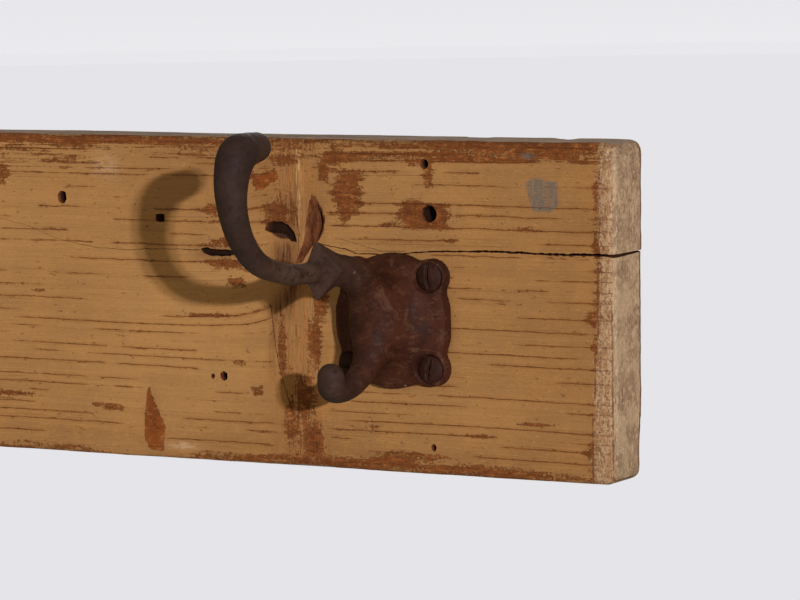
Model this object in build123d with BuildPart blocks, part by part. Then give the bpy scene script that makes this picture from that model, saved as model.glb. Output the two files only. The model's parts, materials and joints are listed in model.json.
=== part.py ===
from build123d import *
import math
import os

# Wall hook rack: one sawn softwood plank with a row of cast-iron hat-and-coat hooks.
# Each hook is held by four slotted raised-head wood screws.
#
# Row frame, in millimetres: +X along the plank to the viewer's right, +Z up, the wall at +Y.
# The origin is the centre of the plank's back face, so the room is on the -Y side.
#
# Hook frame: the origin is the centre of the plate's back, which lies on the plank's front
# face. "out" is the distance from the plank into the room (-Y), and "up" is +Z.

# ---------------------------------------------------------------- plank
PLANK_HEIGHT = 102.0
PLANK_THICKNESS = 19.0
END_MARGIN = 76.0            # from the centre of an end hook to the end of the plank
CORNER_RADIUS = 4.0          # rounded corners of the plank's outline
ARRIS_RADIUS = 1.6           # worn long edges of the front face

# ---------------------------------------------------------------- hook row
HOOK_COUNT = 4
HOOK_PITCH = 200.0
HOOK_DROP = 4.4              # the plate's centre below the plank's centreline
PLANK_LENGTH = HOOK_PITCH * (HOOK_COUNT - 1) + 2 * END_MARGIN

# ---------------------------------------------------------------- wall fixing holes
WALL_HOLE_RADIUS = 2.4
WALL_HOLE_RISE = 28.4        # above the plank's centreline
WALL_HOLE_FROM_END = 64.0
WALL_HOLE_SPACING = PLANK_LENGTH - 2 * WALL_HOLE_FROM_END

# ---------------------------------------------------------------- hook plate
PLATE_RADIUS = 19.3
PLATE_THICKNESS = 4.0
EAR_RADIUS = 5.2
SCREW_SPACING = 28.2         # square pattern, hole to hole
EAR_ROOT_FILLET = 2.0         # where an ear meets the round plate
PLATE_EDGE_FILLET = 1.2
FLARE_BASE_RADIUS = 15.0     # where the stem flares into the plate
FLARE_TOP_RADIUS = 5.2
FLARE_HEIGHT = 11.5          # above the plate's face

# ---------------------------------------------------------------- hook prongs
# Stations along a prong's centreline: (out, up, radius).
UPPER_PRONG = (
    (12.0, 5.0, 5.6),
    (19.5, 13.2, 5.4),
    (29.0, 17.3, 4.9),
    (38.0, 18.3, 4.3),
    (46.0, 18.4, 3.4),
    (61.0, 19.1, 3.1),
    (75.5, 23.2, 3.5),
    (84.6, 31.0, 3.9),
    (88.9, 41.0, 4.5),
    (88.6, 50.0, 5.2),
    (85.6, 54.9, 5.4),
)
UPPER_KNOB = (85.5, 56.0, 5.8)
UPPER_TIP = (76.0, 57.2, 4.6)

LOWER_PRONG = (
    (12.0, 8.0, 5.6),
    (12.6, 0.0, 5.6),
    (14.4, -6.8, 5.0),
    (18.8, -12.6, 4.2),
    (25.6, -17.0, 3.5),
    (32.0, -18.0, 3.5),
    (36.6, -17.0, 3.7),
)
LOWER_KNOB = (37.0, -16.8, 3.9)
LOWER_TIP = (37.8, -13.2, 3.8)

# ---------------------------------------------------------------- knuckle on the upper prong
KNUCKLE_OUT = 45.0           # its upper and lower points
KNUCKLE_CENTRE_UP = 18.6
KNUCKLE_HALF_HEIGHT = 8.6
KNUCKLE_SIDE_OUT = 39.5      # its two side points are swept back towards the wall
KNUCKLE_HALF_WIDTH = 5.6
KNUCKLE_FRONT_OUT = 52.0
KNUCKLE_BACK_OUT = 25.0

# ---------------------------------------------------------------- hook screws
SHANK_RADIUS = 2.1
SHANK_LENGTH = 12.0          # below the head's cone
SCREW_POINT_LENGTH = 4.0
HEAD_RADIUS = 4.6
HEAD_CONE_HEIGHT = 2.2
HEAD_DOME_HEIGHT = 1.6
DOME_SHOULDER_SHARE = 0.55   # the dome's arc passes this share of the way out to the rim,
DOME_SHOULDER_HEIGHT = 0.72  # at this share of its height
HEAD_SEAT_OUT = 4.1          # rim of the head's cone, just above the ear's face
SLOT_WIDTH = 1.1
SLOT_DEPTH = 1.0
SLOT_LENGTH = 3 * HEAD_RADIUS  # longer than the head, so the slot runs out on both sides
FIT_GAP = 0.08               # radial room around a screw
PILOT_END_GAP = 0.5          # empty end of a pilot hole, beyond the screw's point
FIRST_SLOT_ANGLE = 99.5      # every screw stopped turning at its own angle
SLOT_TURN_PER_SCREW = 83.5
SLOT_TURN_PER_HOOK = 61.0

hook_centres_x = [HOOK_PITCH * (i - (HOOK_COUNT - 1) / 2) for i in range(HOOK_COUNT)]
ear_offset = SCREW_SPACING / 2


def side_point(out, up):
    """A point in the hook's plane of symmetry."""
    return Vector(0, -out, up)


def front_plane(out):
    """A plane parallel to the plank's front, facing the room: its x is +X and its y is +Z."""
    return Plane(origin=(0, -out, 0), x_dir=(1, 0, 0), z_dir=(0, -1, 0))


def tapering_rod(stations):
    """Circles of changing radius, lofted along a smooth centreline in the plane of symmetry."""
    points = [side_point(out, up) for out, up, _ in stations]
    centreline = Spline(*points)
    with BuildPart() as rod:
        for point, (_, _, radius) in zip(points, stations):
            with BuildSketch(Plane(origin=point, x_dir=(1, 0, 0), z_dir=centreline.tangent_at(point))):
                Circle(radius)
        loft()
    return rod.part


def round_tip(start, end):
    """The swollen end of a prong: two balls and the cone that is tangent to both, as one turned solid."""
    (start_out, start_up, start_radius), (end_out, end_up, end_radius) = start, end
    start_point, end_point = side_point(start_out, start_up), side_point(end_out, end_up)
    axis = end_point - start_point
    reach = axis.length
    tangent_angle = math.degrees(math.asin((start_radius - end_radius) / reach))
    turning_plane = Plane(origin=start_point, x_dir=axis, z_dir=(1, 0, 0))
    with BuildPart() as tip:
        with BuildSketch(turning_plane):
            with BuildLine():
                start_arc = CenterArc((0, 0), start_radius, 180, -90 - tangent_angle)
                end_arc = CenterArc((reach, 0), end_radius, 90 - tangent_angle, -90 + tangent_angle)
                Line(start_arc @ 1, end_arc @ 0)
                Line(end_arc @ 1, start_arc @ 0)
            make_face()
        revolve(axis=Axis(start_point, axis))
    return tip.part


def knuckle():
    """The faceted swelling on the upper prong: a point above and below, and one swept back each side."""
    top = side_point(KNUCKLE_OUT, KNUCKLE_CENTRE_UP + KNUCKLE_HALF_HEIGHT)
    bottom = side_point(KNUCKLE_OUT, KNUCKLE_CENTRE_UP - KNUCKLE_HALF_HEIGHT)
    right = Vector(KNUCKLE_HALF_WIDTH, -KNUCKLE_SIDE_OUT, KNUCKLE_CENTRE_UP)
    left = Vector(-KNUCKLE_HALF_WIDTH, -KNUCKLE_SIDE_OUT, KNUCKLE_CENTRE_UP)
    front = side_point(KNUCKLE_FRONT_OUT, KNUCKLE_CENTRE_UP)
    back = side_point(KNUCKLE_BACK_OUT, KNUCKLE_CENTRE_UP)
    rim = [top, right, bottom, left]
    facets = []
    for near, far in zip(rim, rim[1:] + rim[:1]):
        facets.append(Face(Wire.make_polygon([near, far, front], close=True)))
        facets.append(Face(Wire.make_polygon([near, far, back], close=True)))
    return Solid(Shell(facets))


def hook_casting():
    """One hook, cast in one piece: plate with four ears, stem, upper prong and lower prong."""
    with BuildPart() as casting:
        with BuildSketch(front_plane(0)) as outline:
            Circle(PLATE_RADIUS)
            with GridLocations(SCREW_SPACING, SCREW_SPACING, 2, 2):
                Circle(EAR_RADIUS)
            fillet(outline.vertices(), EAR_ROOT_FILLET)
        extrude(amount=PLATE_THICKNESS)
        fillet(casting.faces().sort_by(Axis.Y)[0].edges(), PLATE_EDGE_FILLET)

        with BuildSketch(front_plane(PLATE_THICKNESS)):
            Circle(FLARE_BASE_RADIUS)
        with BuildSketch(front_plane(PLATE_THICKNESS + FLARE_HEIGHT)):
            Circle(FLARE_TOP_RADIUS)
        loft()

        add(tapering_rod(UPPER_PRONG))
        add(round_tip(UPPER_KNOB, UPPER_TIP))
        add(tapering_rod(LOWER_PRONG))
        add(round_tip(LOWER_KNOB, LOWER_TIP))
        add(knuckle())

        with Locations(front_plane(PLATE_THICKNESS)):
            with GridLocations(SCREW_SPACING, SCREW_SPACING, 2, 2):
                CounterSinkHole(
                    radius=SHANK_RADIUS + FIT_GAP,
                    counter_sink_radius=HEAD_RADIUS + FIT_GAP,
                )
    return casting.part


def hook_screw(slot_angle):
    """A raised-head slotted wood screw on the hook frame's out axis, with its slot turned by slot_angle."""
    cone_bottom = HEAD_SEAT_OUT - HEAD_CONE_HEIGHT
    shank_end = cone_bottom - SHANK_LENGTH
    crown = HEAD_SEAT_OUT + HEAD_DOME_HEIGHT
    shoulder_out = HEAD_SEAT_OUT + DOME_SHOULDER_HEIGHT * HEAD_DOME_HEIGHT
    with BuildPart() as screw:
        with BuildSketch(Plane.YZ):
            with BuildLine():
                ThreePointArc(
                    (-crown, 0),
                    (-shoulder_out, DOME_SHOULDER_SHARE * HEAD_RADIUS),
                    (-HEAD_SEAT_OUT, HEAD_RADIUS),
                )
                Polyline(
                    (-HEAD_SEAT_OUT, HEAD_RADIUS),
                    (-cone_bottom, SHANK_RADIUS),
                    (-shank_end, SHANK_RADIUS),
                    (-shank_end + SCREW_POINT_LENGTH, 0),
                    (-crown, 0),
                )
            make_face()
        revolve(axis=Axis.Y)
        with BuildSketch(front_plane(crown - SLOT_DEPTH)):
            Rectangle(SLOT_WIDTH, SLOT_LENGTH, rotation=slot_angle)
        extrude(amount=SLOT_DEPTH, mode=Mode.SUBTRACT)
    return screw.part


def plank():
    """The plank, with blind pilot holes for the hook screws and two holes through it to the wall."""
    pilot_depth = SHANK_LENGTH + SCREW_POINT_LENGTH - HEAD_SEAT_OUT + HEAD_CONE_HEIGHT + PILOT_END_GAP
    with BuildPart() as board:
        with BuildSketch(front_plane(0)):
            RectangleRounded(PLANK_LENGTH, PLANK_HEIGHT, CORNER_RADIUS)
        extrude(amount=PLANK_THICKNESS)
        long_edges = board.faces().sort_by(Axis.Y)[0].edges().filter_by(Axis.X)
        fillet(long_edges, ARRIS_RADIUS)

        front = front_plane(PLANK_THICKNESS)
        for centre_x in hook_centres_x:
            with Locations(front):
                with Locations((centre_x, -HOOK_DROP)):
                    with GridLocations(SCREW_SPACING, SCREW_SPACING, 2, 2):
                        Hole(SHANK_RADIUS + FIT_GAP, depth=pilot_depth)
        with Locations(front):
            with Locations((0, WALL_HOLE_RISE)):
                with GridLocations(WALL_HOLE_SPACING, 1, 2, 1):
                    Hole(WALL_HOLE_RADIUS)
    return board.part


def export_piece(piece, name):
    """Label a finished piece and write it as its own STEP file."""
    piece.label = name
    export_step(piece, f"parts/{name}.step")


os.makedirs("parts", exist_ok=True)

export_piece(plank(), "board")

CORNERS = {
    "upper_left": (-1, 1),
    "upper_right": (1, 1),
    "lower_left": (-1, -1),
    "lower_right": (1, -1),
}
casting = hook_casting()
for number, centre_x in enumerate(hook_centres_x, start=1):
    hook_centre = Vector(centre_x, -PLANK_THICKNESS, -HOOK_DROP)
    export_piece(casting.moved(Location(hook_centre)), f"hook_{number}")
    for turn, (corner, (side, rise)) in enumerate(CORNERS.items()):
        ear_centre = hook_centre + Vector(side * ear_offset, 0, rise * ear_offset)
        hooks_to_the_right = HOOK_COUNT - number
        slot_angle = FIRST_SLOT_ANGLE + SLOT_TURN_PER_SCREW * turn + SLOT_TURN_PER_HOOK * hooks_to_the_right
        export_piece(hook_screw(slot_angle).moved(Location(ear_centre)), f"screw_{number}_{corner}")
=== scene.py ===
import json
import math
from itertools import product

import bmesh
import bpy
import numpy as np
from mathutils import Matrix, Vector


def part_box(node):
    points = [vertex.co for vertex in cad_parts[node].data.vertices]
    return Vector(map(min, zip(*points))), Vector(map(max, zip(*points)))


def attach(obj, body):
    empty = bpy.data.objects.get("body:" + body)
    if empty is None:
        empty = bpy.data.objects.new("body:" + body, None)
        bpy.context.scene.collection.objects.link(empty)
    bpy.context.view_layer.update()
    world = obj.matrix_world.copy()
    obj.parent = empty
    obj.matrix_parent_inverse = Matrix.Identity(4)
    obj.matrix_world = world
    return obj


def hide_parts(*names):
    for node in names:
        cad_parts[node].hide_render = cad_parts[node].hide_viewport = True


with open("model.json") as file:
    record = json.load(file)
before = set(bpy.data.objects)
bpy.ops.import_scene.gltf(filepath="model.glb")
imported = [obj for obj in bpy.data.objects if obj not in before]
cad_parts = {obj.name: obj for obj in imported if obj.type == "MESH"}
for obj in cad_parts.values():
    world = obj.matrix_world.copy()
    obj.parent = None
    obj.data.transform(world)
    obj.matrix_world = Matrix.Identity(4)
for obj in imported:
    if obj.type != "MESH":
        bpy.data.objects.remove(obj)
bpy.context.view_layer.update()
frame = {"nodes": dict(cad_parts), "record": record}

# Lengths in this script are millimetres, and MM turns them into Blender's metres.
# The row frame: +X along the plank, +Z up, the wall at +Y and the room at -Y.
MM = 0.001

# ---------- places, from the frame
plank_low, plank_high = (np.array(corner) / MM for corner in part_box("board"))
PLANK_FRONT = plank_low[1]
PLANK_MIDDLE_Z = (plank_low[2] + plank_high[2]) / 2
CORNERS = ("upper_left", "upper_right", "lower_left", "lower_right")
HOOK_COUNT = sum(name.startswith("hook_") for name in frame["nodes"])


def node_centre(name):
    low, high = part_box(name)
    return np.array(low + high) / 2 / MM


def hook_centre(number):
    """The centre of a hook's plate, on the plank's front face."""
    centre = np.mean([node_centre(f"screw_{number}_{corner}") for corner in CORNERS], axis=0)
    return np.array((centre[0], PLANK_FRONT, centre[2]))


HOOK_CENTRES = [hook_centre(number) for number in range(1, HOOK_COUNT + 1)]
END_HOOK = HOOK_CENTRES[-1]


# ---------- numbers on arrays
def ramp(values, start, end):
    """0 below start and 1 above end, with a smooth slope between."""
    share = np.clip((values - start) / (end - start), 0, 1)
    return share * share * (3 - 2 * share)


def bell(values, middle, width):
    """1 at the middle, falling off on both sides."""
    return np.exp(-(((values - middle) / width) ** 2))


def smooth_min(a, b, blend):
    """The smaller of two distances, rounded where they cross: a fillet of about that size."""
    share = np.clip(0.5 + 0.5 * (b - a) / blend, 0, 1)
    return b + (a - b) * share - blend * share * (1 - share)


def smooth_max(a, b, blend):
    return -smooth_min(-a, -b, blend)


LATTICE = 32


def noise(points, seed, octaves=3):
    """Fractal value noise from about -1 to 1, with one cell to the unit."""
    total, weight, reach = np.zeros(len(points)), 1.0, 0.0
    for octave in range(octaves):
        lattice = np.random.default_rng(seed + octave).uniform(-1, 1, (LATTICE,) * 3)
        scaled = points * 2.0**octave + 17.3 * octave
        cell = np.floor(scaled).astype(int)
        part = scaled - cell
        part = part * part * (3 - 2 * part)
        for corner in np.ndindex(2, 2, 2):
            share = np.prod(np.where(corner, part, 1 - part), axis=1)
            x, y, z = ((cell + corner) % LATTICE).T
            total += weight * share * lattice[x, y, z]
        reach += weight
        weight *= 0.5
    return 1.6 * total / reach


# ---------- meshes
def mesh_object(name, points, faces):
    """A smooth-shaded mesh object at the origin, from points in millimetres."""
    mesh = bpy.data.meshes.new(name)
    mesh.from_pydata((np.asarray(points) * MM).tolist(), [], [list(face) for face in faces])
    mesh.shade_smooth()
    piece = bpy.data.objects.new(name, mesh)
    bpy.context.scene.collection.objects.link(piece)
    return piece


def read(items, name, width, kind=float):
    """One property of every item of a mesh, as rows of numbers."""
    values = np.empty(len(items) * width, kind)
    items.foreach_get(name, values)
    return values.reshape(-1, width)


def vertex_points(piece):
    return read(piece.data.vertices, "co", 3) / MM


def vertex_normals(piece):
    return read(piece.data.vertex_normals, "vector", 3)


def move_vertices(piece, points):
    piece.data.vertices.foreach_set("co", (points * MM).ravel())
    piece.data.update()


def set_attributes(piece, **fields):
    for name, values in fields.items():
        attribute = piece.data.attributes.new(name, "FLOAT", "POINT")
        attribute.data.foreach_set("value", values.astype(np.float32))


def tube_faces(rows, around):
    """Quads between rings of points, one ring to a row."""
    faces = []
    for low in range(0, (rows - 1) * around, around):
        for i in range(around):
            j = (i + 1) % around
            faces.append([low + i, low + j, low + around + j, low + around + i])
    return faces


def loft(sections):
    """A closed tube through sections with the same number of points, capped at both ends."""
    sections = np.asarray(sections, float)
    count, around = sections.shape[:2]
    faces = [list(range(around))[::-1], [(count - 1) * around + i for i in range(around)]]
    return sections.reshape(-1, 3), faces + tube_faces(count, around)


def join(solids):
    """Several closed meshes as one."""
    faces, start = [], 0
    for points, solid_faces in solids:
        faces += [[start + index for index in face] for face in solid_faces]
        start += len(points)
    return np.concatenate([points for points, _ in solids]), faces


# ---------- surfaces of distance fields
FAR_OFF = 50.0
ROD_MARGIN = 8.0             # distances to a rod are kept this far from it


class Field:
    """A block of space on a regular grid, holding distances to a shape's surface."""

    def __init__(self, low, high, step):
        self.low, self.step = np.array(low, float), step
        self.counts = np.ceil((np.array(high) - self.low) / step).astype(int) + 1
        self.axes = [self.low[i] + step * np.arange(self.counts[i]) for i in range(3)]
        self.x, self.y, self.z = np.ix_(*self.axes)

    def rod(self, stations):
        """Balls of changing radius swept along the stations (x, y, z, radius)."""
        distance = np.full(self.counts, FAR_OFF)
        for a, b in zip(stations[:-1], stations[1:]):
            start, span, margin = a[:3], (b - a)[:3], max(a[3], b[3]) + ROD_MARGIN
            part = []
            for axis, ends in zip(self.axes, zip(a, b)):
                first, last = np.searchsorted(axis, (min(ends) - margin, max(ends) + margin))
                part.append(slice(max(first - 1, 0), last + 1))
            places = np.ix_(*(axis[cells] - s for axis, cells, s in zip(self.axes, part, start)))
            along = np.clip(sum(d * s for d, s in zip(places, span)) / (span @ span), 0, 1)
            gap = np.sqrt(sum((d - along * s) ** 2 for d, s in zip(places, span)))
            gap -= a[3] + along * (b[3] - a[3])
            distance[tuple(part)] = np.minimum(distance[tuple(part)], gap)
        return distance

    def at(self, distance, points):
        """The distance and its slope at any points, between the grid's own."""
        place = (points - self.low) / self.step
        cell = np.clip(np.floor(place).astype(int), 0, np.array(distance.shape) - 2)
        part = place - cell
        value, slope = np.zeros(len(points)), np.zeros((len(points), 3))
        for corner in np.ndindex(2, 2, 2):
            shares = np.where(corner, part, 1 - part)
            signs = np.where(corner, 1.0, -1.0)
            sample = distance[tuple((cell + corner).T)]
            value += sample * shares.prod(axis=1)
            for axis in range(3):
                others = [i for i in range(3) if i != axis]
                slope[:, axis] += sample * signs[axis] * shares[:, others].prod(axis=1)
        return value, slope / self.step

    def surface(self, distance):
        """Quads where the distance is zero: one point in each cell that the surface crosses."""
        inside = distance < 0
        cells = tuple(count - 1 for count in distance.shape)

        def shifted(array, corner):
            return array[tuple(slice(c, c + n) for c, n in zip(corner, cells))]

        filled = sum(shifted(inside, corner).astype(np.int8) for corner in np.ndindex(2, 2, 2))
        mixed = (filled > 0) & (filled < 8)
        number = np.full(cells, -1)
        number[mixed] = np.arange(mixed.sum())
        cell = np.argwhere(mixed)
        total, crossings = np.zeros((len(cell), 3)), np.zeros(len(cell))
        for axis in range(3):
            along = np.eye(3, dtype=int)[axis]
            for corner in np.ndindex(2, 2, 2):
                if corner[axis]:
                    continue
                a, b = shifted(distance, corner)[mixed], shifted(distance, corner + along)[mixed]
                crossed = (a < 0) != (b < 0)
                point = np.array(corner, float) + along * (a / np.where(crossed, a - b, 1))[:, None]
                total[crossed] += point[crossed]
                crossings += crossed
        points = self.low + self.step * (cell + total / crossings[:, None])
        for _ in range(3):
            value, slope = self.at(distance, points)
            move = slope * (value / np.maximum((slope**2).sum(axis=1), 0.1))[:, None]
            points -= np.clip(move, -0.4 * self.step, 0.4 * self.step)
        quads = []
        for axis in range(3):
            along, u, v = np.roll(np.eye(3, dtype=int), -axis, axis=0)
            starts = inside[tuple(slice(0 if a else 1, -1) for a in along)]
            ends = inside[tuple(slice(1, None if a else -1) for a in along)]
            for leaving in (True, False):
                edges = np.argwhere((starts != ends) & (starts == leaving)) + u + v
                ring = [number[tuple((edges - step).T)] for step in (u + v, v, 0 * u, u)]
                ring = np.stack(ring, axis=1)
                quads.append(ring if leaving else ring[:, ::-1])
        return points, np.concatenate(quads)


def smooth_curve(stations, steps=6):
    """Stations (out, up, radius) in a hook's plane of symmetry, made into a dense smooth path."""
    knots = np.array([(0.0, -out, up, radius) for out, up, radius in stations])
    knots = np.vstack([2 * knots[0] - knots[1], knots, 2 * knots[-1] - knots[-2]])
    path = []
    for a, b, c, d in zip(knots, knots[1:], knots[2:], knots[3:]):
        bend, twist = 2 * a - 5 * b + 4 * c - d, 3 * b - a - 3 * c + d
        path += [0.5 * (2 * b + (c - a) * t + bend * t**2 + twist * t**3) for t in np.arange(steps) / steps]
    return np.array([*path, knots[-2]])


# ---------- the hook casting
# Close to the CAD hook, with each tip joined into its prong.
# Stations are (out from the plank, up from the plate's centre, radius).
UPPER_PRONG = (
    (12, 5, 5.6), (19.5, 13.2, 5.4), (29, 17.3, 4.9), (38, 18.3, 4.3), (46, 18.4, 3.4), (61, 19.1, 3.1),
    (75.5, 23.2, 3.5), (84.6, 31, 3.9), (88.9, 41, 4.5), (88.6, 50, 5.3), (85.7, 55.2, 5.8),
    (81.2, 56.6, 5.1), (76, 57.1, 4.5),
)
LOWER_PRONG = (
    (12, 8, 5.6), (12.6, 0, 5.6), (14.4, -6.8, 5), (18.8, -12.6, 4.2), (25.6, -17, 3.5), (32, -18, 3.6),
    (36.9, -16.8, 4.3), (37.8, -13.4, 4.1),
)
PLATE_RADIUS = 19.3
PLATE_THICKNESS = 4.0
PLATE_EDGE = 1.3             # the radius of its rim
EAR_RADIUS = 5.2
EAR_OFFSET = 14.1
SEAT_RADIUS = 4.7            # of the cup that a screw's head sits in
SEAT_BORE = 2.2
HEAD_SEAT = 4.1              # the head's rim, out from the plank
KNUCKLE_OUT, KNUCKLE_UP, KNUCKLE_HALF_HEIGHT = 45.0, 18.6, 9.4
KNUCKLE_SIDE_OUT, KNUCKLE_HALF_WIDTH = 39.5, 6.0
KNUCKLE_FRONT_OUT, KNUCKLE_BACK_OUT = 52.5, 21.0
KNUCKLE_ROUNDING = 0.5
EAR_FILLET, STEM_FILLET, LOWER_FILLET, UPPER_FILLET, KNUCKLE_FILLET = 1.6, 5.0, 7.0, 5.0, 0.8
STEM_FOOT_RADIUS = 17.0      # the stem narrows from its foot on the plate
STEM_NARROWING = 12.0
STEM_HEIGHT = 12.5
STEM_END = 15.5              # out from the plank
HOOK_SPACE = ((-20.6, -95.2, -22.6), (20.6, 1.2, 62.4))


def knuckle_distance(x, out, up):
    """A body of eight flat facets, between four rim points, a front point and a back point."""
    centre = np.array((0, KNUCKLE_OUT - 3, KNUCKLE_UP))
    distance = None
    for side, rise, apex_out in product((-1, 1), (1, -1), (KNUCKLE_FRONT_OUT, KNUCKLE_BACK_OUT)):
        flank = np.array((side * KNUCKLE_HALF_WIDTH, KNUCKLE_SIDE_OUT, KNUCKLE_UP))
        peak = np.array((0, KNUCKLE_OUT, KNUCKLE_UP + rise * KNUCKLE_HALF_HEIGHT))
        normal = np.cross(peak - flank, (0, apex_out, KNUCKLE_UP) - flank)
        normal = normal / np.linalg.norm(normal)
        if normal @ (flank - centre) < 0:
            normal = -normal
        facet = normal[0] * x + normal[1] * out + normal[2] * up - normal @ flank
        distance = facet if distance is None else smooth_max(distance, facet, KNUCKLE_ROUNDING)
    return distance


def hook_surface(step):
    """Points and quads of one casting, around the centre of its plate's back."""
    field = Field(*HOOK_SPACE, step)
    x, out, up = field.x, -field.y, field.z
    outline = np.sqrt(x**2 + up**2) - PLATE_RADIUS
    sides = (-EAR_OFFSET, EAR_OFFSET)
    from_ears = [np.sqrt((x - ear_x) ** 2 + (up - ear_up) ** 2) for ear_x, ear_up in product(sides, sides)]
    for from_ear in from_ears:
        outline = smooth_min(outline, from_ear - EAR_RADIUS, EAR_FILLET)
    rim = outline + PLATE_EDGE
    face = out - (PLATE_THICKNESS - PLATE_EDGE) - 0.5 * ramp(-outline, 2, 16)
    plate = np.minimum(np.maximum(rim, face), 0)
    plate = plate + np.sqrt(np.maximum(rim, 0) ** 2 + np.maximum(face, 0) ** 2) - PLATE_EDGE

    height = np.clip((out - PLATE_THICKNESS) / STEM_HEIGHT, 0, 1)
    stem_radius = STEM_FOOT_RADIUS - STEM_NARROWING * height**0.7
    spread = np.sqrt(x**2 + (0.9 * (up - 0.5)) ** 2)
    stem = smooth_max((spread - stem_radius) * 0.7, out - STEM_END, 4.0)

    body = smooth_min(plate, stem, STEM_FILLET)
    body = smooth_min(body, field.rod(smooth_curve(LOWER_PRONG)), LOWER_FILLET)
    body = smooth_min(body, field.rod(smooth_curve(UPPER_PRONG)), UPPER_FILLET)
    body = smooth_min(body, knuckle_distance(x, out, up), KNUCKLE_FILLET)
    for from_ear in from_ears:
        seat = from_ear - np.clip(SEAT_RADIUS - (HEAD_SEAT - out), SEAT_BORE, SEAT_RADIUS)
        body = smooth_max(body, -0.75 * seat, 0.35)
    return field.surface(np.maximum(body, -out))


def curvature(piece):
    """How far each point stands out from its neighbours, in millimetres."""
    points = vertex_points(piece)
    a, b = read(piece.data.edges, "vertices", 2, int).T
    total, count = np.zeros_like(points), np.zeros(len(points))
    np.add.at(total, a, points[b])
    np.add.at(total, b, points[a])
    np.add.at(count, a, 1)
    np.add.at(count, b, 1)
    away = points - total / np.maximum(count, 1)[:, None]
    return (away * vertex_normals(piece)).sum(axis=1)


# Spots where coats and hands have rubbed the iron pale, which also stand as painted glints: (x, out, up,
# size).
RUBBED_AND_GLINT_SPOTS = (
    (0, 45.5, 9.6, 0.9), (2.5, 50.5, 18, 0.8), (3.4, 53.2, 18.8, 0.55), (4.2, 31, 17.4, 1),
    (3, 33.4, 19.6, 0.7), (5, 3.6, -19, 1), (-1.5, 3.6, -19.6, 0.8), (0.5, 36, -20.6, 0.9),
    (3.4, 88, 40, 0.6), (2.4, 70, 20.4, 0.8),
)


def make_hook(number, centre, surface, material):
    """One casting in its place, with its own waves, pits and rust swellings."""
    points, quads = surface
    piece = mesh_object(f"cast_hook_{number}", points + centre, quads)
    rubbed = np.zeros(len(points))
    for x, out, up, size in RUBBED_AND_GLINT_SPOTS:
        rubbed = np.maximum(rubbed, np.exp(-((points - (x, -out, up)) ** 2).sum(axis=1) / size**2))
    place = vertex_points(piece)
    out = PLANK_FRONT - place[:, 1]
    set_attributes(piece, rubbed=rubbed, worn_edge=curvature(piece) * 60, out=out)
    cad_low, cad_high = (np.array(corner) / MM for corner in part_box(f"hook_{number}"))
    waves = 0.14 * noise(place / 11.0, 11, 2) + 0.03 * noise(place / 2.6, 21)
    pits = 0.07 * ramp(noise(place / 1.6, 31, 2), 0.45, 0.95)
    lift = (waves - pits - 0.06) * ramp(out, 0.0, 1.5)
    moved = place + vertex_normals(piece) * lift[:, None]
    move_vertices(piece, np.clip(moved, cad_low, cad_high))
    piece.data.materials.append(material)
    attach(piece, "root")
    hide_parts(f"hook_{number}")


# ---------- the hook screws
HEAD_RADIUS = 4.55
HEAD_CROWN = 5.7
SHANK_RADIUS = 2.0
SHANK_END = -10.1
SCREW_POINT = -14.1
THREAD_PITCH = 1.7
THREAD_DEPTH = 0.42
SLOT_HALF_WIDTH = 0.55
SLOT_DEPTH = 1.15
SCREW_SPACE = ((-4.8, -6.3, -4.8), (4.8, 14.6, 4.8))


def screw_surface(step):
    """Points and quads of one screw on its own axis, with an upright slot."""
    field = Field(*SCREW_SPACE, step)
    x, out, up = field.x, -field.y, field.z
    across = np.sqrt(x**2 + up**2)
    turn = np.arctan2(up, x) / (2 * math.pi)
    dome_radius = (HEAD_RADIUS**2 + (HEAD_CROWN - HEAD_SEAT) ** 2) / 2 / (HEAD_CROWN - HEAD_SEAT)
    dome = np.sqrt(across**2 + (out - HEAD_CROWN + dome_radius) ** 2) - dome_radius
    cone = (across - HEAD_RADIUS + np.maximum(HEAD_SEAT - out, 0)) * 0.75
    head = smooth_max(smooth_max(dome, cone, 0.35), HEAD_SEAT - 2.3 - out, 0.1)
    thread = np.abs((out / THREAD_PITCH - turn) % 1.0 - 0.5) * 2
    taper = np.clip((out - SCREW_POINT) / (SHANK_END - SCREW_POINT), 0.02, 1)
    core = across - taper * (SHANK_RADIUS - THREAD_DEPTH * ramp(-out, 1.5, 3.0) * ramp(thread, 0.1, 0.8))
    shank = np.maximum(np.maximum(core, out - 2.2), SCREW_POINT - out)
    body = smooth_min(head, shank, 0.3)
    slot = np.maximum(np.abs(x) - SLOT_HALF_WIDTH, HEAD_CROWN - SLOT_DEPTH - out)
    return field.surface(smooth_max(body, -slot, 0.18))


FIRST_SLOT_ANGLE = 99.5
SLOT_TURN_PER_SCREW = 83.5
SLOT_TURN_PER_HOOK = 61.0


def make_screw(number, turn, corner, surface, material):
    """One worn screw, with its slot at the CAD screw's angle."""
    points, quads = surface
    angle = FIRST_SLOT_ANGLE + SLOT_TURN_PER_SCREW * turn + SLOT_TURN_PER_HOOK * (HOOK_COUNT - number)
    spin = np.array(Matrix.Rotation(math.radians(-angle), 3, "Y"))
    centre = node_centre(f"screw_{number}_{corner}")
    centre[1] = PLANK_FRONT
    piece = mesh_object(f"slotted_screw_{number}_{corner}", points @ spin.T + centre, quads)
    set_attributes(piece, worn_edge=curvature(piece) * 120)
    place = vertex_points(piece)
    out = PLANK_FRONT - place[:, 1]
    wear = 0.07 * noise(place / 2.2, 51) - 0.07 * ramp(noise(place / 0.9, 61, 2), 0.3, 0.9)
    lift = (wear - 0.03) * ramp(out, 1.0, 3.5)
    move_vertices(piece, place + vertex_normals(piece) * lift[:, None])
    piece.data.materials.append(material)
    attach(piece, "root")
    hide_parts(f"screw_{number}_{corner}")
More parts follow.
